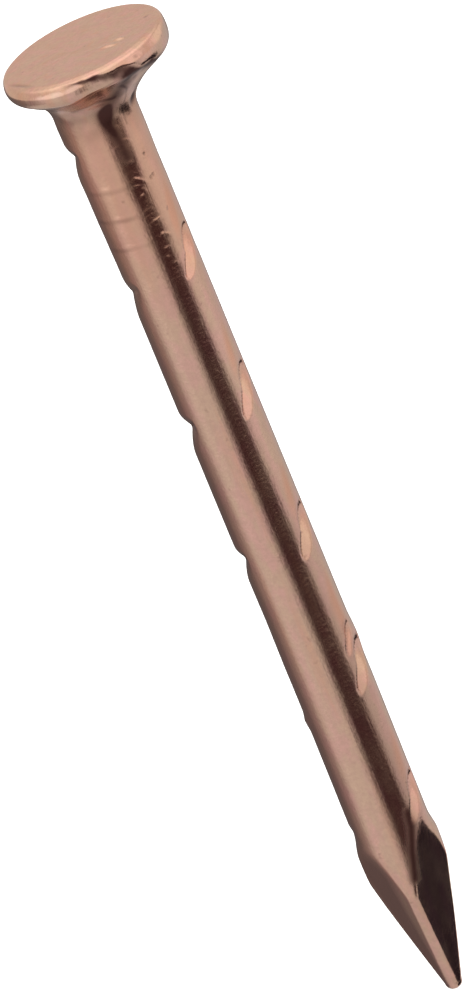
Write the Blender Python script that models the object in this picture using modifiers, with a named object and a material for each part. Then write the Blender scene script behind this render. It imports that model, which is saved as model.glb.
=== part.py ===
"""A barbed flat-head wire nail, copper plated.

The whole nail is one length of wire: the head is upset on it, the gripper die's teeth mark it below the head, two
rows of slanting barbs are pressed into it and its end is pinched to a diamond point.

The shank's axis is Z with the point downwards, and the origin is where that axis meets the struck face. -Y is the
front, and an azimuth is measured from the front towards +X. All sizes are in metres.
"""

import math

import bpy
from mathutils import Matrix, Vector

MM = 0.001

# Driving dimensions
WIRE_RADIUS = 0.70 * MM
HEAD_RADIUS = 1.525 * MM
OVERALL_LENGTH = 19.10 * MM

# Head and neck, as depths below the struck face
STRUCK_FACE_RADIUS = 0.90 * HEAD_RADIUS
RIM_DEPTH = 0.20 * MM
UNDERSIDE_DEPTH = 0.62 * MM
UNDERSIDE_RADIUS = 0.87 * HEAD_RADIUS
NECK_TOP_RADIUS = 1.10 * MM
NECK_TOP_DEPTH = 0.78 * MM
NECK_BOTTOM_DEPTH = 1.30 * MM
HEAD_SHIFT = 0.165 * MM

# Barbs: slanting notches in two rows, each row as (azimuth, depth of its first notch, number of notches)
BARB_ROWS = ((math.radians(69), 4.10 * MM, 5), (math.radians(-96), 1.92 * MM, 6))
BARB_PITCH = 2 * 2 * WIRE_RADIUS
BARB_SLANT = math.radians(41)
BARB_BITE = 0.17 * MM
BARB_TOOTH_RADIUS = 0.25 * MM
BARB_TOOTH_WIDENING = 2.4
BARB_TOOTH_LENGTH = 1.50 * MM

# Gripper marks: shallow rings on the front and back
GRIP_COUNT = 3
GRIP_PITCH = 0.57 * MM
GRIP_FIRST_DEPTH = 2.45 * MM
GRIP_WIRE_RADIUS = 0.05 * MM
GRIP_BITE = 0.02 * MM
GRIP_SIDE_STRETCH = 1.06

# Point: four pinched facets and the two narrow strips between them, as (azimuth, depth where its plane meets the
# shank, depth where it meets the axis beyond the tip)
FACETS = tuple((math.radians(a), 16.10 * MM, 19.95 * MM) for a in (40, 120, 220, 300))
STRIPS = tuple((math.radians(a), 17.20 * MM, 19.75 * MM) for a in (-11, 169))
SWELL_RADIUS = 0.74 * MM
SWELL_TOP_DEPTH = 15.60 * MM
SWELL_DEPTH = 16.40 * MM
TIP_RADIUS = 0.20 * MM
TIP_ROUNDING = 0.09 * MM
TIP_CONE_LENGTH = 0.25 * MM
TIP_SHIFT = -0.045 * MM
CUTTER_SIDE = 7 * MM

# Facets on each full turn, and the steps of a quarter turn in an outline
TURN_STEPS = 48
QUARTER_STEPS = 5
MERGE_DISTANCE = 0.001 * MM

COPPER = (0.78, 0.47, 0.36, 1.0)


def clear_scene():
    for obj in list(bpy.data.objects):
        bpy.data.objects.remove(obj)


def new_collection(name):
    collection = bpy.data.collections.new(name)
    bpy.context.scene.collection.children.link(collection)
    return collection


def copper_plate():
    material = bpy.data.materials.new("copper_plate")
    material.use_nodes = True
    shader = material.node_tree.nodes["Principled BSDF"]
    shader.inputs["Base Color"].default_value = COPPER
    shader.inputs["Metallic"].default_value = 1.0
    shader.inputs["Roughness"].default_value = 0.25
    return material


def radial(azimuth):
    return Vector((math.sin(azimuth), -math.cos(azimuth), 0))


def tangent(azimuth):
    return Vector((math.cos(azimuth), math.sin(azimuth), 0))


def smooth_step(start, end, value):
    share = min(1.0, max(0.0, (value - start) / (end - start)))
    return share * share * (3 - 2 * share)


def quarter(centre_radius, centre_depth, across, down, start, end):
    """Points (radius, depth) of a quarter ellipse, without its first point. Angle 0 is outwards, 90 is upwards."""
    points = []
    for step in range(1, QUARTER_STEPS + 1):
        angle = math.radians(start + (end - start) * step / QUARTER_STEPS)
        points.append((centre_radius + across * math.cos(angle), centre_depth - down * math.sin(angle)))
    return points


def blank_outline():
    """The unpinched nail as (radius, depth) points, from the struck face's centre down to the tip."""
    outline = [(0, 0), (STRUCK_FACE_RADIUS, 0)]
    outline += quarter(STRUCK_FACE_RADIUS, RIM_DEPTH, HEAD_RADIUS - STRUCK_FACE_RADIUS, RIM_DEPTH, 90, 0)
    outline += quarter(
        UNDERSIDE_RADIUS, RIM_DEPTH, HEAD_RADIUS - UNDERSIDE_RADIUS, UNDERSIDE_DEPTH - RIM_DEPTH, 0, -90
    )
    outline.append((NECK_TOP_RADIUS, NECK_TOP_DEPTH))
    outline += quarter(
        NECK_TOP_RADIUS, NECK_BOTTOM_DEPTH, NECK_TOP_RADIUS - WIRE_RADIUS, NECK_BOTTOM_DEPTH - NECK_TOP_DEPTH, 90, 180
    )
    tip_centre_depth = OVERALL_LENGTH - TIP_ROUNDING
    outline.append((WIRE_RADIUS, SWELL_TOP_DEPTH))
    outline.append((SWELL_RADIUS, SWELL_DEPTH))
    outline.append((SWELL_RADIUS, tip_centre_depth - TIP_CONE_LENGTH))
    outline.append((TIP_RADIUS, tip_centre_depth))
    outline += quarter(0, tip_centre_depth, TIP_RADIUS, TIP_ROUNDING, 0, -90)
    return outline


def turned_blank(collection):
    mesh = bpy.data.meshes.new("blank")
    points = [(radius, 0, -depth) for radius, depth in blank_outline()]
    edges = [(i, i + 1) for i in range(len(points) - 1)]
    mesh.from_pydata(points, edges, [])
    blank = bpy.data.objects.new("blank", mesh)
    collection.objects.link(blank)
    screw = blank.modifiers.new("turn", "SCREW")
    screw.steps = TURN_STEPS
    screw.render_steps = TURN_STEPS
    screw.use_merge_vertices = True
    screw.merge_threshold = MERGE_DISTANCE
    return blank


def keep_as_cutter(obj, name, collection):
    """Applies the object's own transform to its mesh, names it and puts it with the cutters."""
    obj.name = name
    obj.data.transform(obj.matrix_basis)
    obj.matrix_basis = Matrix.Identity(4)
    for owner in list(obj.users_collection):
        owner.objects.unlink(obj)
    collection.objects.link(obj)
    obj.hide_render = True
    obj.display_type = "WIRE"
    return obj


def barb_cutter(azimuth, depth, name, collection):
    """A blunt three-sided bar whose edge lies slanting across the shank and bites into it."""
    bpy.ops.mesh.primitive_cylinder_add(vertices=3, radius=BARB_TOOTH_RADIUS, depth=BARB_TOOTH_LENGTH)
    along = Vector((0, 0, 1)) * math.cos(BARB_SLANT) + tangent(azimuth) * math.sin(BARB_SLANT)
    out = radial(azimuth)
    turn = Matrix((along.cross(out), -out, along)).transposed().to_4x4()
    centre = out * (WIRE_RADIUS - BARB_BITE + BARB_TOOTH_RADIUS) + Vector((0, 0, -depth))
    blunt = Matrix.Diagonal((BARB_TOOTH_WIDENING, 1, 1, 1))
    bpy.context.object.matrix_basis = Matrix.Translation(centre) @ turn @ blunt
    return keep_as_cutter(bpy.context.object, name, collection)


def grip_cutter(depth, name, collection):
    """A thin ring, stretched sideways so that it bites only the front and the back of the shank."""
    bpy.ops.mesh.primitive_torus_add(
        major_segments=TURN_STEPS,
        minor_segments=8,
        major_radius=WIRE_RADIUS + GRIP_WIRE_RADIUS - GRIP_BITE,
        minor_radius=GRIP_WIRE_RADIUS,
        location=(0, 0, -depth),
        rotation=(0, 0, math.pi / TURN_STEPS),
    )
    ring = keep_as_cutter(bpy.context.object, name, collection)
    ring.data.transform(Matrix.Diagonal((GRIP_SIDE_STRETCH, 1, 1, 1)))
    return ring


def facet_cutter(azimuth, top_depth, apex_depth, name, collection):
    """A box whose one face is the facet's plane, which meets the shank at one depth and the axis at the other."""
    slope = math.atan(WIRE_RADIUS / (apex_depth - top_depth))
    outward = radial(azimuth) * math.cos(slope) - Vector((0, 0, math.sin(slope)))
    up = (Vector((0, 0, 1)) - outward * outward.z).normalized()
    on_facet = Vector((0, 0, -apex_depth)) + up * CUTTER_SIDE / 3
    bpy.ops.mesh.primitive_cube_add(size=CUTTER_SIDE)
    turn = Matrix((outward, up.cross(outward), up)).transposed().to_4x4()
    bpy.context.object.matrix_basis = Matrix.Translation(on_facet + outward * CUTTER_SIDE / 2) @ turn
    return keep_as_cutter(bpy.context.object, name, collection)


def all_cutters(collection):
    cutters = []
    for row, (azimuth, first_depth, count) in enumerate(BARB_ROWS, start=1):
        for place in range(count):
            name = f"barb_cutter_{row}_{place + 1}"
            cutters.append(barb_cutter(azimuth, first_depth + place * BARB_PITCH, name, collection))
    for place in range(GRIP_COUNT):
        depth = GRIP_FIRST_DEPTH + place * GRIP_PITCH
        cutters.append(grip_cutter(depth, f"grip_cutter_{place + 1}", collection))
    for place, facet in enumerate(FACETS + STRIPS, start=1):
        cutters.append(facet_cutter(*facet, f"facet_cutter_{place}", collection))
    return cutters


def cut_mesh(blank, cutters):
    """The blank's mesh with every cutter taken away from it."""
    for cutter in cutters:
        boolean = blank.modifiers.new(cutter.name, "BOOLEAN")
        boolean.operation = "DIFFERENCE"
        boolean.object = cutter
    graph = bpy.context.evaluated_depsgraph_get()
    mesh = bpy.data.meshes.new_from_object(blank.evaluated_get(graph))
    bpy.data.objects.remove(blank)
    return mesh


def lean_ends(mesh):
    """Upsetting leaves the head a little off the shank's axis, and pinching leans the point the other way."""
    for vertex in mesh.vertices:
        depth = -vertex.co.z
        head = smooth_step(NECK_BOTTOM_DEPTH, UNDERSIDE_DEPTH, depth)
        point = max(0.0, depth - SWELL_TOP_DEPTH) / (OVERALL_LENGTH - SWELL_TOP_DEPTH)
        vertex.co.x += HEAD_SHIFT * head + TIP_SHIFT * point


def main():
    clear_scene()
    parts = new_collection("barbed_nail")
    helpers = new_collection("cutters")
    blank = turned_blank(parts)
    mesh = cut_mesh(blank, all_cutters(helpers))
    lean_ends(mesh)
    mesh.name = "nail"
    nail = bpy.data.objects.new("nail", mesh)
    parts.objects.link(nail)
    mesh.materials.clear()
    mesh.materials.append(copper_plate())
    mesh.shade_smooth()
    mesh.set_sharp_from_angle(angle=math.radians(30))


main()
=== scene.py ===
"""The looks of a barbed, copper-plated wire nail: its fine surface, its plating, and a plain soft studio.

The frame is the CAD model's: the shank's axis is Z, the struck face is at the origin and the point is at -Z.
An azimuth is in degrees round the shank from -Y, the front, towards +X. A depth is measured below the struck
face. Shapes are worked out in millimetres, and become metres as they go into a mesh.
"""

import math

import bpy
import numpy as np
from mathutils import Matrix, Vector, noise


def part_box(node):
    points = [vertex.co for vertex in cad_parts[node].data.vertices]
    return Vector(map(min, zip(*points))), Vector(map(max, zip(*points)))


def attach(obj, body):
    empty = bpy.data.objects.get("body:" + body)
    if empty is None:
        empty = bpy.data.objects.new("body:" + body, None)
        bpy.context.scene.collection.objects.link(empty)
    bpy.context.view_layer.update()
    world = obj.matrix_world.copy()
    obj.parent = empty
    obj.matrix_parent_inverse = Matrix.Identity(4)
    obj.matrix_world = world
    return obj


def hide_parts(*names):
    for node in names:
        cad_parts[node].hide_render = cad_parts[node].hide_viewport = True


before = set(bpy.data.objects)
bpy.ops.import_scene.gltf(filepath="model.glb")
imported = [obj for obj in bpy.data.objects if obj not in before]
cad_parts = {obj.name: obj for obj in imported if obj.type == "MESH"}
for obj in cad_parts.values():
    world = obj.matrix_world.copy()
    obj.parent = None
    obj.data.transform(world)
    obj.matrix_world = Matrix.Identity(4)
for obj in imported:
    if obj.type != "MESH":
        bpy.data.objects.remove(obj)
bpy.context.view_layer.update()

MM = 0.001
LENGTH = -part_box("nail")[0][2] / MM

# Head: its outline as (radius, depth), from the flat's edge round the rim and under it to the shank
HEAD_OUTLINE = (
    (1.445, 0.000), (1.490, 0.020), (1.522, 0.080), (1.533, 0.180), (1.522, 0.300), (1.470, 0.400),
    (1.355, 0.485), (1.200, 0.580), (1.050, 0.685), (0.935, 0.795), (0.850, 0.910), (0.790, 1.030),
    (0.757, 1.160), (0.745, 1.300),
)
# Steps of the smooth curve between two points of that outline
SPLINE_STEPS = 20
# The head stands off the axis towards +X, less and less over these depths, and its struck face is tilted
HEAD_SHIFT = 0.165
HEAD_SHIFT_DEPTHS = (0.55, 1.25)
FACE_TILT = math.radians(2.6)
FACE_TILT_DEPTH = 0.40
# The depths over which the cone's underside starts and ends, the shank starts, and the neck starts and ends
UNDERSIDE_DEPTHS = ((0.30, 0.50), (1.1, 1.8))
SHANK_DEPTHS = (0.95, 1.35)
NECK_DEPTHS = ((1.0, 1.5), (3.6, 5.5))

# The lip round the struck face: where its corner is, how much and how widely it is worn, and where it is worn
# most, with the cosines of the angles from there at which the wear ends and is full
LIP_CORNER = (1.49, 0.02)
LIP_WEAR = 0.034
LIP_WIDTH = 0.1725
LIP_AZIMUTH = -12
LIP_REACH = (-0.1, 0.6)

# The rim's undercut side: where it starts below the face as (azimuth, depth), how far it goes in over what
# depth, the azimuths over which it starts and ends, and the depths over which it fades
UNDERCUT_LINE = (
    (-24, 0.00), (-14, 0.01), (0, 0.03), (14, 0.09), (21, 0.09), (28, 0.17), (35, 0.27), (50, 0.32),
)
UNDERCUT_BITE = 0.075
UNDERCUT_RAMP = 0.26
UNDERCUT_ENDS = ((-24, -4), (36, 56))
UNDERCUT_FADE = (0.45, 0.75)
# Painted shade in the undercut under the rim: how dark it is, its ends, its height as (azimuth, height),
# and its soft edges as shares of that height
UNDERCUT_PAINTED_SHADE = 1.10
UNDERCUT_SHADE_ENDS = ((-30, -6), (46, 66))
UNDERCUT_SHADE_HEIGHT = ((-30, 0.05), (-13, 0.07), (4, 0.15), (19, 0.32), (34, 0.31), (47, 0.22), (66, 0.05))
UNDERCUT_SHADE_EDGES = ((0, 0.25), (0.6, 1.25))

# Creases and streaks of painted shade as (bite, half width, shade, points along it as (azimuth, depth)): two
# creases under the rim and one down the neck, then a streak of painted shade down the neck in two parts, and
# the one beside the right facet
CREASES = (
    (0.006, 0.050, 0.30, ((-62, 0.450), (-44, 0.470), (-26, 0.470), (-10, 0.440), (4, 0.400), (12, 0.360))),
    (0.004, 0.045, 0.25, ((-34, 0.760), (-20, 0.720), (-6, 0.700), (6, 0.720), (14, 0.760))),
    (0.003, 0.030, 0.30, ((18, 0.560), (28, 0.700), (34, 0.900), (36, 1.150), (34, 1.400))),
    (0.000, 0.340, 0.66, ((22, 0.540), (13, 0.780), (7, 0.980))),
    (0.000, 0.200, 0.90, ((5, 1.000), (9, 1.330), (14, 1.620), (15, 1.950))),
    (0.000, 0.180, 1.00, ((30, 15.40), (27, 15.66), (14.5, 16.10), (4, 16.60))),
)

# Nicks standing on the struck face, its pit and the groove inside its edge as
# (x, y, half length, half width, turn in degrees, height)
FACE_NICKS = (
    (0.66, -0.42, 0.17, 0.085, -35, 0.028), (0.44, -0.53, 0.25, 0.095, -30, 0.029),
    (0.10, -0.34, 0.12, 0.060, -10, 0.003), (-0.52, -0.10, 0.16, 0.060, 20, 0.003),
    (1.24, 0.04, 0.070, 0.060, 0, -0.006), (-1.24, -0.47, 0.50, 0.065, -60, -0.016),
)
# Painted shade in the nicks that go into the face: its pit and the groove
NICK_PAINTED_SHADE = 0.40

# Shank: its radius and its axis's drift along X as (depth, value)
WIRE_RADIUS = 0.706
SHANK_RADIUS = (
    (1.3, 0.745), (1.8, 0.738), (2.2, 0.730), (3.0, 0.722), (4.2, 0.711), (6.0, 0.707), (9.5, 0.706),
    (11.2, 0.697), (12.2, 0.703), (14.5, 0.700), (19.1, 0.700),
)
AXIS_X = (
    (0.6, 0.0), (1.3, -0.028), (2.2, -0.022), (4.2, 0.0), (9.5, 0.006), (11.2, 0.014), (13, 0.010),
    (15.8, -0.014), (16.4, -0.022), (17.2, -0.036), (19.1, -0.045),
)

# Barbs: every notch of a row as (azimuth, depth, bite, size), and the shape that the row's notches share. One
# notch of the left row stands out, with a bite below 0
LEFT_BARBS = (
    (-95, 1.85, 0.100, 0.86), (-95, 4.59, 0.078, 1.00), (-95, 7.33, 0.142, 1.00),
    (-95, 10.02, 0.118, 0.84), (-95, 13.30, -0.020, 0.60), (-95, 15.62, 0.036, 0.60),
)
LEFT_SHAPE = dict(
    slant=68, upper_width=0.34, lower_width=0.50, flare=0.0, curve=1.8, up_length=0.60, down_length=0.95,
)
RIGHT_BARBS = (
    (48, 4.12, 0.125, 0.98), (48, 6.92, 0.130, 1.00), (48, 9.80, 0.130, 1.00),
    (46, 11.98, 0.060, 0.62), (49, 12.55, 0.135, 1.00), (48, 15.25, 0.115, 0.92),
)
RIGHT_SHAPE = dict(
    slant=31, upper_width=0.075, lower_width=0.21, flare=3.5, curve=1.0, up_length=0.60, down_length=0.46,
)
# Keeps a notch's width off zero, where it is divided by
LEAST_SQUARE = 1e-6

# Long low ridges under the grips and beside the barbs as (azimuth, half width in degrees, (depth, height)
# stops)
RIDGES = (
    (17, 34, ((1.2, 0), (1.7, 0.007), (3.0, 0.005), (4.6, 0))),
    (54, 36, ((5.5, 0), (9.0, 0.009), (12.5, 0.018), (15.4, 0.030), (16.0, 0.0))),
)
# Low swellings that the barbs raise as (azimuth, depth, radius, height)
SWELLINGS = ((84, 12.05, 0.45, 0.022), (-88, 13.30, 0.22, 0.010))

# Marks of the nail machine's grips: faint raised rings below the head on two sides, with a line of painted
# shade just below each. The places of a ring and its shade are in half widths from its line. The reach is the
# cosines of the angles from a side's middle at which a ring ends and is full. Its strength is patchy, as
# (middle, waves per millimetre, height), up to a largest value
GRIP_FIRST = 2.452
GRIP_PITCH = 0.572
GRIP_COUNT = 3
GRIP_HALF_WIDTH = 0.075
GRIP_HEIGHT = 0.0035
GRIP_RING_PLACE = -0.5
GRIP_PAINTED_SHADE = 0.26
GRIP_SHADE_PLACE = 0.2
GRIP_AZIMUTH = -35
GRIP_REACH = (0.50, 0.95)
GRIP_PATCHES = (0.75, 3.1, 1.1)
GRIP_PATCH_MOST = 1.3
# Small scars between the grips as (azimuth, depth, half length, half width, turn in degrees, height)
SCARS = (
    (17, 2.07, 0.060, 0.045, 0, 0.0045), (21, 2.45, 0.190, 0.042, 42, 0.0062),
    (12, 2.52, 0.130, 0.040, 18, 0.0045), (20, 2.64, 0.090, 0.038, 70, 0.0050),
    (14, 2.73, 0.100, 0.038, -25, 0.0045), (9, 3.02, 0.100, 0.040, -20, 0.0040),
    (20, 3.24, 0.180, 0.042, -8, 0.0050), (12, 3.30, 0.090, 0.040, 60, 0.0035),
    (19, 3.55, 0.120, 0.038, -45, 0.0055), (28, 3.58, 0.190, 0.042, 30, 0.0062),
    (18, 3.80, 0.110, 0.040, -20, 0.0045), (13, 3.96, 0.090, 0.040, 40, 0.0040),
    (22, 4.12, 0.090, 0.040, -10, 0.0040), (6, 1.72, 0.100, 0.045, -30, 0.0030),
    (24, 1.66, 0.100, 0.045, 30, 0.0030),
)

# Pits as (azimuth, depth, radius, bite, shade painted in them). Two specks on the rim stand out, with a bite
# below 0
PITS = (
    (61, 1.06, 0.210, 0.045, 0.85), (42, 2.07, 0.045, 0.005, 0.50), (37, 2.51, 0.050, 0.006, 0.45),
    (43, 2.49, 0.050, 0.006, 0.45), (-14, 2.69, 0.035, 0.002, 0.40), (33, 0.11, 0.050, 0.016, 0.55),
    (-42, 0.10, 0.035, -0.006, 0.0), (-36, 0.11, 0.030, -0.006, 0.0), (-20, 6.9, 0.030, 0.001, 0.35),
    (-34, 10.9, 0.032, 0.001, 0.40), (-10, 11.6, 0.028, 0.001, 0.35), (-16, 14.1, 0.030, 0.001, 0.40),
)

# Slow and fine waves of the surface, of the undercut's edge and of the edges of the shade painted in it, as
# (waves per millimetre, height), with the radii over which the struck face's waves fade out
NECK_WAVE = (2.4, 0.0060)
SHANK_WAVE = (1.6, 0.0016)
UNDERSIDE_WAVE = (3.0, 0.0060)
FACE_WAVE = (1.5, 0.0105)
FACE_WAVE_RADII = (1.1, 1.4)
UNDERCUT_WAVE = (4.0, 0.025)
UNDERCUT_SHADE_WAVE = (7.0, 0.055)

# Point: how far down it is shaped from, its facets as (azimuth, depth where the plane meets the shank, depth
# where it meets the axis), the cone that rounds the ridges between them as those two depths, and the wire
# squeezed out at the sides, starting over these depths
POINT_START = 14
FACETS = ((40, 15.76, 19.87), (121, 15.95, 19.87), (222, 15.98, 19.87), (-58, 15.92, 19.86))
FACET_LEAST_LEAN = 0.2
RIDGE_CONE = (16.90, 19.56)
POINT_SWELL = 0.054
POINT_SWELL_SPREAD = 0.45
POINT_SWELL_DEPTHS = (15.72, 16.12)
EDGE_SOFTNESS = 0.02
TIP_ROUNDING = 0.14
TIP_BLUNTNESS = 0.7

# Mesh density: points in a ring, rings of the face, head and tip, and (from, to, step) down the shank
AROUND = 168
FACE_RINGS = 58
HEAD_RINGS = 64
TIP_RINGS = 8
SHANK_STEPS = ((1.30, 4.60, 0.021), (4.60, LENGTH - TIP_ROUNDING, 0.0560))

# The mesh's own shades, as attributes from 0 to 1, and the shares and places of those that no list above
# gives: painted shade under the head and on the right barbs' upper flanks, its patches under the head and in
# the undercut as (middle, waves per millimetre, height), and warmth on the neck, with its soft ends' depths
SHADES = ("painted_shade", "warmth", "painted_band_shade")
UNDERSIDE_PAINTED_SHADE = 0.28
FLANK_PAINTED_SHADE = 0.30
PAINTED_SHADE_PATCHES = (0.80, 5.0, 0.6)
NECK_WARMTH = 0.50
NECK_WARMTH_DEPTHS = ((0.8, 1.4), (2.5, 6.0))
# The warm streak above each right barb as (azimuth, rise above the barb, half length, half width, turn in
# degrees, share)
STREAK = (51, 0.85, 0.72, 0.16, 101, 0.90)
# Bands of painted shade beside the barbs and on the left facet, darker towards the point, as (azimuth, half
# width in degrees, (depth, share) stops)
PAINTED_SHADE_BANDS = (
    (38, 27, ((6.5, 0), (8.5, 0.15), (11.0, 0.38), (14.0, 0.58), (16.0, 0.58))),
    (-72, 48, ((2.5, 0), (5.0, 0.36), (8.5, 0.62), (15.8, 0.66), (16.4, 1.0))),
    (-58, 50, ((16.0, 0), (16.5, 0.5))),
)

# Plating: colours, and roughness from the smoothest to the dullest patches, over this span of their noise
COPPER_PINK = (0.90, 0.515, 0.425, 1)
COPPER_TAN = (0.84, 0.553, 0.400, 1)
COPPER_ORANGE = (0.88, 0.46, 0.31, 1)
COPPER_DULL = (0.72, 0.45, 0.35, 1)
COPPER_SPECK = (0.52, 0.31, 0.24, 1)
# Painted shade: the colour of the dark bands beside the barbs and on the left facet
COPPER_BAND_SHADE = (0.46, 0.272, 0.218, 1)
# Painted shade: the colour mixed in where shade is painted in creases, pits, the undercut and under the head
COPPER_PAINTED_SHADE = (0.105, 0.044, 0.038, 1)
ROUGHNESS = (0.145, 0.185)
ROUGHNESS_SPAN = (0.30, 0.70)
PAINTED_SHADE_ROUGHNESS = 0.28
GRAIN_HEIGHT = 0.0030
LINE_HEIGHT = 0.0018
# Noises of the plating: the wire's draw stretches its streaks and lines along it, and its patches a little
WIRE_STRETCH = (1, 1, 0.05)
PATCHES = dict(per_mm=3.6, detail=4, stretch=(1, 1, 0.45))
STREAKS = dict(per_mm=4.5, detail=3, stretch=WIRE_STRETCH)
LINES = dict(per_mm=22.0, detail=3, stretch=WIRE_STRETCH)
GRAIN = dict(per_mm=16.0, detail=4)
CLOUDS = dict(per_mm=6.0, detail=2)
SPECKS = dict(per_mm=6.5, detail=1)
# Colours over the patches as (noise, span of the noise, largest share, colour), and the specks on top of them
PATCH_SPAN = (0.36, 0.60)
TINTS = (
    (STREAKS, (0.50, 0.72), 0.50, COPPER_ORANGE),
    (GRAIN, (0.35, 0.75), 0.40, COPPER_DULL),
    (CLOUDS, (0.40, 0.68), 0.30, COPPER_DULL),
)
SPECK_TINT = (SPECKS, (0.70, 0.84), 0.6, COPPER_SPECK)

# Studio: (azimuth, brightness, redness) round the nail at its own level, then the pale floor, the dark card
# over it as (azimuth, elevation), and the dome above. Edges and rises are in degrees
RING_LIGHT = (
    (-180, 0.05, 0.2), (-164, 0.13, 0.2), (-128, 0.185, 0.25), (-100, 0.335, 0.3), (-73, 0.62, 0),
    (-17, 0.60, 0), (14, 0.046, 1.1), (43, 0.046, 1.1), (67, 0.61, 0), (86, 0.68, 0), (115, 0.58, 0),
    (150, 0.52, 0), (168, 0.24, 0.3), (180, 0.05, 0.3),
)
RING_TINT = (1.00, 0.58, 0.64)
RING_EDGE = (-15, -3)
FLOOR_LEVEL = 0.55
FLOOR_EDGE = (-44, -33)
DARK_CARD = (94, -46)
DARK_CARD_EDGE = (23, 15)
DARK_CARD_COLOR = (0.020, 0.016, 0.024, 1)
DOME_LOW = (0.645, 0.585, 0.535, 1)
DOME_HIGH = (1.14, 1.10, 1.04, 1)
DOME_RISE = (26, 66)
# Softboxes as (centre as azimuth and elevation, soft edge in degrees from it, colour)
SOFTBOXES = (
    ((40, 22), (42, 22), (0.88, 0.83, 0.78, 1)),
    ((-62, 10), (32, 12), (1.06, 1.11, 1.14, 1)),
    ((112, 8), (26, 12), (0.84, 0.79, 0.74, 1)),
    ((-18, 14), (30, 12), (0.92, 0.93, 0.93, 1)),
)
BACKDROP_LEVEL = 1

# Stage: a pale floor just under the point, and one big soft light above it, its power in watts. The plating
# shows neither
STAGE_SIZE = 1600
STAGE_GAP = 0.5
STAGE_COLOR = (0.90, 0.89, 0.88, 1)
LIGHT_SIZE = 700
LIGHT_HEIGHT = 500
LIGHT_POWER = 4.0

# Camera: its target and distance, the height of the view at the target, and its clipping distances in metres
CAMERA_TARGET = (-0.382, 0, -8.811)
CAMERA_DISTANCE = 333
CAMERA_ELEVATION = math.radians(21)
CAMERA_ROLL = math.radians(22.44)
VIEW_HEIGHT = 17.447
SENSOR_WIDTH = 36
CAMERA_CLIP = (0.01, 10)


def smooth_step(start, end, value):
    """0 before the start and 1 after the end, with a smooth rise between them."""
    share = np.clip((value - start) / (end - start), 0, 1)
    return share * share * (3 - 2 * share)


def between(spans, value):
    """1 between two soft edges and 0 outside them."""
    (start, full), (last, end) = spans
    return smooth_step(start, full, value) * (1 - smooth_step(last, end, value))


def soft_min(a, b, softness):
    """The smaller of two lengths, with the corner between them rounded."""
    share = np.clip(0.5 + 0.5 * (b - a) / softness, 0, 1)
    return b + (a - b) * share - softness * share * (1 - share)


def angle_from(azimuth, degrees):
    """How far an azimuth in radians is from one in degrees, between -pi and pi."""
    return (azimuth - math.radians(degrees) + math.pi) % (2 * math.pi) - math.pi


def hump(off):
    """1 at no distance, falling smoothly to 0 at a distance of 1."""
    return np.clip(1 - off**2, 0, 1) ** 2


def oval(across, down, half_length, half_width, turn):
    """An oval bump, turned from across towards down by degrees."""
    turn = math.radians(turn)
    long = (across * math.cos(turn) + down * math.sin(turn)) / half_length
    wide = (down * math.cos(turn) - across * math.sin(turn)) / half_width
    return hump(np.hypot(long, wide))


def along(stops, place):
    """Values between stops of (place, value)."""
    places, values = zip(*stops)
    return np.interp(place, places, values)


def waves(points, per_mm, height):
    """Smooth random waves at points in millimetres, the same on each run."""
    flat = (points * per_mm).reshape(-1, 3).tolist()
    return height * np.array([noise.noise(point) for point in flat]).reshape(points.shape[:-1])


def spline(points, count):
    """Evenly spaced points on a smooth Catmull-Rom curve through the given points."""
    ends = [2 * np.array(points[0]) - points[1], 2 * np.array(points[-1]) - points[-2]]
    knots = np.array([ends[0], *points, ends[1]], dtype=float)
    share = np.linspace(0, 1, SPLINE_STEPS, endpoint=False)[:, None]
    curve = []
    for p0, p1, p2, p3 in zip(knots, knots[1:], knots[2:], knots[3:]):
        linear = (p2 - p0) * share
        square = (2 * p0 - 5 * p1 + 4 * p2 - p3) * share**2
        cube = (3 * p1 - p0 - 3 * p2 + p3) * share**3
        curve.append(p1 + 0.5 * (linear + square + cube))
    curve = np.vstack([*curve, knots[-2:-1]])
    run = np.concatenate([[0], np.cumsum(np.linalg.norm(np.diff(curve, axis=0), axis=1))])
    at = np.linspace(0, run[-1], count)
    return np.stack([np.interp(at, run, curve[:, 0]), np.interp(at, run, curve[:, 1])], axis=1)


def outline_rings():
    """Every ring of the plain turned nail as (radius, depth), from the struck face's centre to the tip."""
    flat = HEAD_OUTLINE[0][0]
    face = [(flat * i / FACE_RINGS, 0.0) for i in range(1, FACE_RINGS)]
    head = spline(HEAD_OUTLINE, HEAD_RINGS)
    shank = np.concatenate([np.arange(start + step, end, step) for start, end, step in SHANK_STEPS])
    radius = along(SHANK_RADIUS, shank)
    turn = np.linspace(0, math.pi / 2, TIP_RINGS, endpoint=False)
    tip_radius = WIRE_RADIUS * np.cos(turn) ** TIP_BLUNTNESS
    tip = np.stack([tip_radius, LENGTH - TIP_ROUNDING * (1 - np.sin(turn))], axis=1)
    return np.vstack([face, head, np.stack([radius, shank], axis=1), tip])


def barb(azimuth, depth, place, slant, upper_width, lower_width, flare, curve, up_length, down_length):
    """How deep one slanting notch goes, and where its upper flank is, which flares towards its upper end."""
    barb_azimuth, barb_depth, bite, size = place
    slant = math.radians(slant)
    across = WIRE_RADIUS * angle_from(azimuth, barb_azimuth)
    down = depth - barb_depth
    off = (across * math.cos(slant) + down * math.sin(slant)) / size
    reach = (across * math.sin(slant) - down * math.cos(slant)) / size
    reach = reach / np.where(reach > 0, up_length, down_length)
    width = np.sqrt(np.clip(1 - reach**2, LEAST_SQUARE, 1))
    upper_width = upper_width * (1 + flare * np.clip(reach, 0, 1))
    side = np.clip(1 - np.abs(off) / (width * np.where(off < 0, upper_width, lower_width)), 0, 1)
    side = side**curve * (np.abs(reach) < 1)
    return bite * width * side, np.where(off < 0, side, 0)


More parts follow.
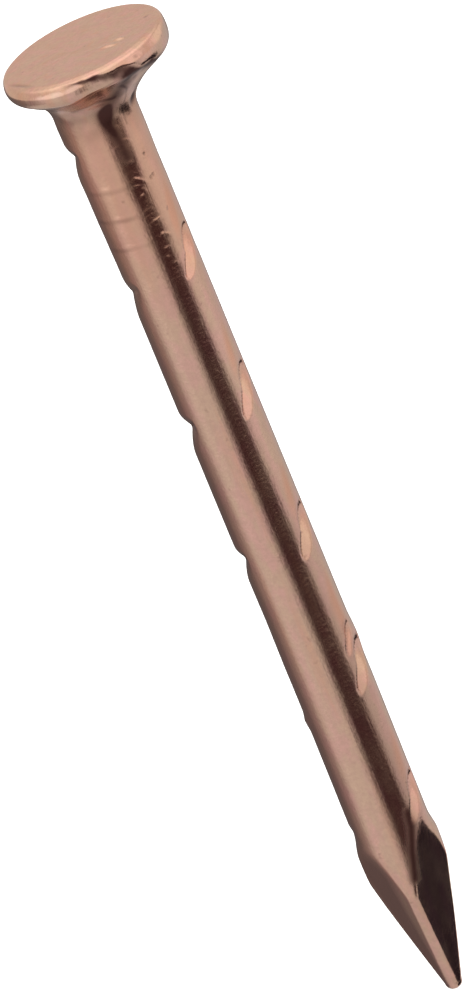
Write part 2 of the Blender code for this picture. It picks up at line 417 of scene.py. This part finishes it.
def barbs(azimuth, depth):
    """How deep all the notches go, and where the right row's upper flanks are."""
    notches = [barb(azimuth, depth, place, **LEFT_SHAPE)[0] for place in LEFT_BARBS]
    right = [barb(azimuth, depth, place, **RIGHT_SHAPE) for place in RIGHT_BARBS]
    notches += [notch for notch, flank in right]
    return sum(notches), sum(flank for notch, flank in right)


def barb_streaks(azimuth, depth):
    """The warm streaks that lead down into the right row's barbs."""
    middle, rise, half_length, half_width, turn, share = STREAK
    across = WIRE_RADIUS * angle_from(azimuth, middle)
    starts = [place[1] - rise for place in RIGHT_BARBS]
    return share * sum(oval(across, depth - start, half_length, half_width, turn) for start in starts)


def painted_shade_bands(azimuth, depth):
    """The painted shade beside the barbs and on the left facet."""
    share = 0
    for middle, half_width, stops in PAINTED_SHADE_BANDS:
        share = share + along(stops, depth) * hump(np.degrees(angle_from(azimuth, middle)) / half_width)
    return share


def swellings(azimuth, depth):
    """How high the swellings and the long ridges stand."""
    height = 0
    for middle, swelling_depth, swelling_radius, swelling_height in SWELLINGS:
        across = WIRE_RADIUS * angle_from(azimuth, middle)
        height = height + swelling_height * hump(np.hypot(across, depth - swelling_depth) / swelling_radius)
    for middle, half_width, stops in RIDGES:
        height = height + along(stops, depth) * hump(np.degrees(angle_from(azimuth, middle)) / half_width)
    return height


def grip_marks(azimuth, depth, patchy):
    """How high the grips' rings and the scars between them stand, and the shade painted below the rings."""
    side = smooth_step(*GRIP_REACH, np.abs(np.cos(angle_from(azimuth, GRIP_AZIMUTH)))) * patchy
    height, painted_shade = 0, 0
    for number in range(GRIP_COUNT):
        off = (depth - GRIP_FIRST - GRIP_PITCH * number) / GRIP_HALF_WIDTH
        height = height + GRIP_HEIGHT * hump(off - GRIP_RING_PLACE) * side
        painted_shade = painted_shade + GRIP_PAINTED_SHADE * hump(off - GRIP_SHADE_PLACE) * side
    for middle, scar_depth, half_length, half_width, turn, scar_height in SCARS:
        across = WIRE_RADIUS * angle_from(azimuth, middle)
        height = height + scar_height * oval(across, depth - scar_depth, half_length, half_width, turn)
    return height, painted_shade


def pits(azimuth, radius, depth):
    """How deep the pits go, and the shade painted in them."""
    bite, painted_shade = 0, 0
    for middle, pit_depth, pit_radius, pit_bite, pit_painted_shade in PITS:
        inside = hump(np.hypot(radius * angle_from(azimuth, middle), depth - pit_depth) / pit_radius)
        bite = bite + pit_bite * inside
        painted_shade = painted_shade + pit_painted_shade * inside
    return bite, painted_shade


def creases(azimuth, radius, depth):
    """How deep the creases go, and the shade painted in and along them."""
    bite, painted_shade = 0, 0
    for crease_bite, half_width, crease_painted_shade, points in CREASES:
        far = np.inf
        for (start, start_depth), (end, end_depth) in zip(points, points[1:]):
            across = radius * angle_from(azimuth, start)
            run = radius * math.radians(end - start)
            fall = end_depth - start_depth
            share = np.clip((across * run + (depth - start_depth) * fall) / (run**2 + fall**2), 0, 1)
            far = np.minimum(far, np.hypot(across - share * run, depth - start_depth - share * fall))
        inside = hump(np.minimum(far / half_width, 1))
        bite = bite + crease_bite * inside
        painted_shade = painted_shade + crease_painted_shade * inside
    return bite, painted_shade


def undercut(azimuth, depth, wobble, ragged):
    """How far the rim is cut away below its lip on one side, and the shade painted there."""
    degrees = np.degrees(angle_from(azimuth, 0))
    below = depth - along(UNDERCUT_LINE, degrees) - wobble
    slope = 1 - (1 - np.clip(below / UNDERCUT_RAMP, 0, 1)) ** 2
    bite = UNDERCUT_BITE * between(UNDERCUT_ENDS, degrees) * slope * (1 - smooth_step(*UNDERCUT_FADE, depth))
    over = (below - ragged) / along(UNDERCUT_SHADE_HEIGHT, degrees)
    return bite, UNDERCUT_PAINTED_SHADE * between(UNDERCUT_SHADE_ENDS, degrees) * between(UNDERCUT_SHADE_EDGES, over)


def lip(azimuth, radius, depth):
    """How far the lip is worn."""
    front = smooth_step(*LIP_REACH, np.cos(angle_from(azimuth, LIP_AZIMUTH)))
    return LIP_WEAR * front * hump(np.hypot(radius - LIP_CORNER[0], depth - LIP_CORNER[1]) / LIP_WIDTH)


def face_nicks(x, y):
    """How high the nicks stand on the struck face, and the shade painted in those that go into it."""
    height, painted_shade = 0, 0
    for nick_x, nick_y, half_length, half_width, turn, nick_height in FACE_NICKS:
        inside = oval(x - nick_x, y - nick_y, half_length, half_width, turn)
        height = height + nick_height * inside
        painted_shade = painted_shade + NICK_PAINTED_SHADE * inside * (nick_height < 0)
    return height, painted_shade


def patchy_share(points, middle, per_mm, height):
    """A share that varies round its middle from place to place."""
    return middle + waves(points, per_mm, height)


def relief(azimuth, outline):
    """How far each point stands out from the plain turned nail, and its shades."""
    radius, depth = outline[:, :1], outline[:, 1:]
    x, y = radius * np.sin(azimuth), -radius * np.cos(azimuth)
    points = np.stack(np.broadcast_arrays(x, y, -depth), axis=2)
    shank = smooth_step(*SHANK_DEPTHS, depth)
    under = between(UNDERSIDE_DEPTHS, depth)
    worn = lip(azimuth, radius, depth)
    grip_patches = np.clip(patchy_share(points, *GRIP_PATCHES), 0, GRIP_PATCH_MOST)
    grips, grip_painted_shade = grip_marks(azimuth, depth, grip_patches)
    notches, flanks = barbs(azimuth, depth)
    crease, crease_painted_shade = creases(azimuth, radius, depth)
    pit, pit_painted_shade = pits(azimuth, radius, depth)
    # scale is the shade painted in the undercut under the rim
    cut_away, scale = undercut(azimuth, depth, waves(points, *UNDERCUT_WAVE), waves(points, *UNDERCUT_SHADE_WAVE))
    shape = waves(points, *NECK_WAVE) * between(NECK_DEPTHS, depth) + waves(points, *SHANK_WAVE) * shank
    shape = shape + (grips + swellings(azimuth, depth) - notches) * shank
    shape = shape + waves(points, *UNDERSIDE_WAVE) * under - crease - pit - cut_away - worn
    nicks, nick_painted_shade = face_nicks(x, y)
    face = waves(points, *FACE_WAVE) * (1 - smooth_step(*FACE_WAVE_RADII, radius)) + nicks - worn
    # Painted shade on the right barbs' upper flanks, below the grips' rings, in creases and pits, in the
    # undercut (scale) and under the head
    painted_shade = (FLANK_PAINTED_SHADE * flanks + grip_painted_shade) * shank + crease_painted_shade + pit_painted_shade
    painted_shade = painted_shade + (scale + UNDERSIDE_PAINTED_SHADE * under) * patchy_share(points, *PAINTED_SHADE_PATCHES)
    warmth = NECK_WARMTH * between(NECK_WARMTH_DEPTHS, depth) + barb_streaks(azimuth, depth)
    flat = depth == 0
    face_shades, rest_shades = (nick_painted_shade, 0, 0), (painted_shade, warmth, painted_shade_bands(azimuth, depth))
    shade = np.stack([np.where(flat, *pair) for pair in zip(face_shades, rest_shades)], axis=2)
    return np.where(flat, face, shape), np.clip(shade, 0, 1)


def point_radius(azimuth, depth):
    """The pinched point's radius, before it is taken with the shank's."""
    top, apex = RIDGE_CONE
    radius = WIRE_RADIUS * (apex - depth) / (apex - top)
    for facet_azimuth, top, apex in FACETS:
        flat = WIRE_RADIUS * (apex - depth) / (apex - top)
        lean = np.cos(angle_from(azimuth, facet_azimuth))
        radius = soft_min(radius, flat / np.clip(lean, FACET_LEAST_LEAN, None), EDGE_SOFTNESS)
    return radius


def nail_points():
    """Positions of every ring's points, as an array of rings by points by x, y and z, and their shades."""
    outline = outline_rings()
    azimuth = np.linspace(0, 2 * math.pi, AROUND, endpoint=False)[None, :]
    run = np.gradient(outline, axis=0)
    run = run / np.linalg.norm(run, axis=1, keepdims=True)
    height, shade = relief(azimuth, outline)
    radius = outline[:, :1] + height * run[:, 1:]
    depth = outline[:, 1:] - height * run[:, :1]
    spread = np.exp(-((np.cos(azimuth) / POINT_SWELL_SPREAD) ** 2))
    radius = radius + POINT_SWELL * spread * smooth_step(*POINT_SWELL_DEPTHS, depth)
    end = LENGTH - TIP_ROUNDING
    pinched = soft_min(radius, point_radius(azimuth, np.minimum(depth, end)), EDGE_SOFTNESS)
    closing = np.where(outline[:, 1:] >= end, outline[:, :1] / WIRE_RADIUS, 1)
    radius = np.where(depth > POINT_START, pinched * closing, radius)
    x = radius * np.sin(azimuth) + HEAD_SHIFT * (1 - smooth_step(*HEAD_SHIFT_DEPTHS, depth))
    x = x + along(AXIS_X, depth)
    z = x * math.tan(FACE_TILT) * (1 - smooth_step(0, FACE_TILT_DEPTH, depth)) - depth
    return np.stack([x, -radius * np.cos(azimuth), z], axis=2), shade


def ring_mesh(name, points, shade):
    """A closed mesh from rings of points, with a fan at each end, and its shades as attributes."""
    ring_count, around, _ = points.shape
    ends = [points[0].mean(axis=0), points[-1].mean(axis=0)]
    vertices = np.vstack([points.reshape(-1, 3), ends]) * MM
    ring = np.arange(ring_count - 1)[:, None] * around
    here = np.arange(around)[None, :]
    after = (here + 1) % around
    corners = [ring + here, ring + around + here, ring + around + after, ring + after]
    faces = np.stack(corners, axis=2).reshape(-1, 4).tolist()
    top, bottom, last = ring_count * around, ring_count * around + 1, (ring_count - 1) * around
    for i in range(around):
        j = (i + 1) % around
        faces.append((top, i, j))
        faces.append((bottom, last + j, last + i))
    mesh = bpy.data.meshes.new(name)
    mesh.from_pydata(vertices.tolist(), [], faces)
    mesh.shade_smooth()
    for number, label in enumerate(SHADES):
        values = [*shade[:, :, number].ravel(), 0, 0]
        mesh.attributes.new(label, "FLOAT", "POINT").data.foreach_set("value", values)
    return mesh


def link(tree, value, socket):
    """Gives a socket a value, or another socket's output."""
    if isinstance(value, bpy.types.NodeSocket):
        tree.links.new(value, socket)
    else:
        socket.default_value = value


def value_node(tree, operation, *inputs):
    """A Math node on numbers or sockets, and its result's socket."""
    node = tree.nodes.new("ShaderNodeMath")
    node.operation = operation
    for socket, value in zip(node.inputs, inputs):
        link(tree, value, socket)
    return node.outputs[0]


def step_node(tree, value, start, end, low=0.0, high=1.0):
    """A smooth step from low at start to high at end."""
    node = tree.nodes.new("ShaderNodeMapRange")
    node.interpolation_type = "SMOOTHSTEP"
    inputs = {"Value": value, "From Min": start, "From Max": end, "To Min": low, "To Max": high}
    for name, number in inputs.items():
        link(tree, number, node.inputs[name])
    return node.outputs["Result"]


def mix_node(tree, share, a, b):
    """A colour between a and b."""
    node = tree.nodes.new("ShaderNodeMix")
    node.data_type = "RGBA"
    for name, value in (("Factor", share), ("A", a), ("B", b)):
        link(tree, value, next(i for i in node.inputs if i.name == name and i.enabled))
    return next(o for o in node.outputs if o.enabled)


def ramp_node(tree, value, stops):
    """A colour ramp through stops of (position, colour)."""
    node = tree.nodes.new("ShaderNodeValToRGB")
    tree.links.new(value, node.inputs["Fac"])
    node.color_ramp.interpolation = "EASE"
    elements = node.color_ramp.elements
    for element, (position, color) in zip(elements, (stops[0], stops[-1])):
        element.position = position
        element.color = color
    for position, color in stops[1:-1]:
        elements.new(position).color = color
    return node.outputs["Color"]


def noise_node(tree, place, per_mm, detail, stretch=(1, 1, 1)):
    """Noise with so many features a millimetre at a place in metres, stretched along its axes."""
    scale = tree.nodes.new("ShaderNodeVectorMath")
    scale.operation = "MULTIPLY"
    tree.links.new(place, scale.inputs[0])
    scale.inputs[1].default_value = [per_mm / MM * share for share in stretch]
    node = tree.nodes.new("ShaderNodeTexNoise")
    tree.links.new(scale.outputs[0], node.inputs["Vector"])
    node.inputs["Scale"].default_value = 1.0
    node.inputs["Detail"].default_value = detail
    return node.outputs["Fac"]


def attribute_node(tree, name):
    node = tree.nodes.new("ShaderNodeAttribute")
    node.attribute_name = name
    return node.outputs["Fac"]


def bump_node(tree, height, distance, normal=None):
    """A bump so many millimetres high, on top of another where one is given."""
    node = tree.nodes.new("ShaderNodeBump")
    node.inputs["Distance"].default_value = distance * MM
    tree.links.new(height, node.inputs["Height"])
    if normal:
        tree.links.new(normal, node.inputs["Normal"])
    return node.outputs["Normal"]


def tint_node(tree, place, color, look, span, share, tint):
    """A colour tinted where a noise runs from one end of a span to the other."""
    return mix_node(tree, step_node(tree, noise_node(tree, place, **look), *span, 0.0, share), color, tint)


def copper_material():
    """Thin copper plate on drawn wire: pink to tan patches, streaks along it, grain, specks, lines and
    painted shade.
    """
    material = bpy.data.materials.new("copper_plate_fine")
    material.use_nodes = True
    tree = material.node_tree
    shader = tree.nodes["Principled BSDF"]
    place = tree.nodes.new("ShaderNodeTexCoord").outputs["Object"]
    patches = noise_node(tree, place, **PATCHES)
    color = mix_node(tree, step_node(tree, patches, *PATCH_SPAN), COPPER_PINK, COPPER_TAN)
    for tint in TINTS:
        color = tint_node(tree, place, color, *tint)
    color = mix_node(tree, attribute_node(tree, "warmth"), color, COPPER_ORANGE)
    # Painted shade in bands beside the barbs and on the left facet
    color = mix_node(tree, attribute_node(tree, "painted_band_shade"), color, COPPER_BAND_SHADE)
    color = tint_node(tree, place, color, *SPECK_TINT)
    # Painted shade from the mesh: creases, pits, the undercut, under the head, the barbs' flanks and below
    # the grips' rings
    color = mix_node(tree, attribute_node(tree, "painted_shade"), color, COPPER_PAINTED_SHADE)
    tree.links.new(color, shader.inputs["Base Color"])
    shader.inputs["Metallic"].default_value = 1.0
    # Duller where shade is painted
    dullness = value_node(tree, "MULTIPLY", attribute_node(tree, "painted_shade"), PAINTED_SHADE_ROUGHNESS)
    roughness = value_node(tree, "ADD", step_node(tree, patches, *ROUGHNESS_SPAN, *ROUGHNESS), dullness)
    tree.links.new(roughness, shader.inputs["Roughness"])
    normal = bump_node(tree, noise_node(tree, place, **GRAIN), GRAIN_HEIGHT)
    normal = bump_node(tree, noise_node(tree, place, **LINES), LINE_HEIGHT, normal)
    tree.links.new(normal, shader.inputs["Normal"])
    return material


def make_nail():
    nail = bpy.data.objects.new("copper_nail", ring_mesh("copper_nail", *nail_points()))
    bpy.context.scene.collection.objects.link(nail)
    nail.data.materials.append(copper_material())
    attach(nail, "root")
    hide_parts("nail")


def make_camera():
    """Looks down on the nail from the front, rolled so that the nail leans across the picture."""
    back = Vector((0, -math.cos(CAMERA_ELEVATION), math.sin(CAMERA_ELEVATION)))
    level_up = Vector((0, math.sin(CAMERA_ELEVATION), math.cos(CAMERA_ELEVATION)))
    level_right = Vector((1, 0, 0))
    right = level_right * math.cos(CAMERA_ROLL) - level_up * math.sin(CAMERA_ROLL)
    up = level_right * math.sin(CAMERA_ROLL) + level_up * math.cos(CAMERA_ROLL)
    data = bpy.data.cameras.new("camera")
    data.sensor_width = SENSOR_WIDTH
    data.lens = SENSOR_WIDTH * CAMERA_DISTANCE / VIEW_HEIGHT
    data.clip_start, data.clip_end = CAMERA_CLIP
    camera = bpy.data.objects.new("camera", data)
    turn = Matrix((right, up, back)).transposed().to_4x4()
    camera.matrix_world = Matrix.Translation((Vector(CAMERA_TARGET) + back * CAMERA_DISTANCE) * MM) @ turn
    bpy.context.scene.collection.objects.link(camera)
    bpy.context.scene.camera = camera


def make_floor():
    """A plain pale sheet, just below the point."""
    half, level = STAGE_SIZE / 2 * MM, -(LENGTH + STAGE_GAP) * MM
    corners = [(-half, -half, level), (half, -half, level), (half, half, level), (-half, half, level)]
    mesh = bpy.data.meshes.new("floor")
    mesh.from_pydata(corners, [], [(0, 1, 2, 3)])
    material = bpy.data.materials.new("floor_paper")
    material.use_nodes = True
    shader = material.node_tree.nodes["Principled BSDF"]
    shader.inputs["Base Color"].default_value = STAGE_COLOR
    shader.inputs["Roughness"].default_value = 1.0
    shader.inputs["Specular IOR Level"].default_value = 0.0
    mesh.materials.append(material)
    floor = bpy.data.objects.new("floor", mesh)
    floor.visible_glossy = False
    bpy.context.scene.collection.objects.link(floor)


def make_light():
    """One big soft light, straight above."""
    data = bpy.data.lights.new("soft_light", "AREA")
    data.size = LIGHT_SIZE * MM
    data.energy = LIGHT_POWER
    light = bpy.data.objects.new("soft_light", data)
    light.location = (0, 0, LIGHT_HEIGHT * MM)
    light.visible_glossy = False
    light.visible_camera = False
    bpy.context.scene.collection.objects.link(light)


def grey(level):
    return (level, level, level, 1)


def tinted(level, redness):
    """A light level's colour, from neutral to the dark cards' tint."""
    return tuple(level * (1 + (tint - 1) * redness) for tint in RING_TINT) + (1,)


def toward(azimuth, elevation):
    """The direction of an azimuth and an elevation, in degrees."""
    azimuth, elevation = math.radians(azimuth), math.radians(elevation)
    level = math.cos(elevation)
    return Vector((level * math.sin(azimuth), -level * math.cos(azimuth), math.sin(elevation)))


def disc_node(tree, direction, centre, edge):
    """1 within a disc of the sky and 0 outside it, with the centre and the soft edge in degrees."""
    near = tree.nodes.new("ShaderNodeVectorMath")
    near.operation = "DOT_PRODUCT"
    tree.links.new(direction, near.inputs[0])
    near.inputs[1].default_value = toward(*centre)
    return step_node(tree, near.outputs["Value"], *[math.cos(math.radians(angle)) for angle in edge])


def studio_node(tree, direction):
    """The studio's light from a direction: the ring, floor and dark card, then the dome and the softboxes."""
    split = tree.nodes.new("ShaderNodeSeparateXYZ")
    tree.links.new(direction, split.inputs[0])
    x, y, z = split.outputs
    azimuth = value_node(tree, "ARCTAN2", x, value_node(tree, "MULTIPLY", y, -1.0))
    turn = value_node(tree, "MULTIPLY_ADD", azimuth, 0.5 / math.pi, 0.5)
    elevation = value_node(tree, "MULTIPLY", value_node(tree, "ARCSINE", z), 180 / math.pi)
    ring = ramp_node(tree, turn, [((stop + 180) / 360, tinted(*look)) for stop, *look in RING_LIGHT])
    dome = mix_node(tree, step_node(tree, elevation, *DOME_RISE), DOME_LOW, DOME_HIGH)
    lower = mix_node(tree, step_node(tree, elevation, *FLOOR_EDGE), grey(FLOOR_LEVEL), ring)
    lower = mix_node(tree, disc_node(tree, direction, DARK_CARD, DARK_CARD_EDGE), lower, DARK_CARD_COLOR)
    light = mix_node(tree, step_node(tree, elevation, *RING_EDGE), lower, dome)
    for centre, edge, color in SOFTBOXES:
        light = mix_node(tree, disc_node(tree, direction, centre, edge), light, color)
    return light


def make_world():
    """Big soft panels and dark cards that show in the plating. The camera itself sees a pale backdrop."""
    world = bpy.data.worlds.new("studio")
    bpy.context.scene.world = world
    world.use_nodes = True
    tree = world.node_tree
    light = studio_node(tree, tree.nodes.new("ShaderNodeTexCoord").outputs["Generated"])
    path = tree.nodes.new("ShaderNodeLightPath")
    seen = mix_node(tree, path.outputs["Is Camera Ray"], light, grey(BACKDROP_LEVEL))
    tree.links.new(seen, tree.nodes["Background"].inputs["Color"])
    bpy.context.scene.view_settings.view_transform = "Standard"


make_camera()
make_nail()
make_floor()
make_light()
make_world()
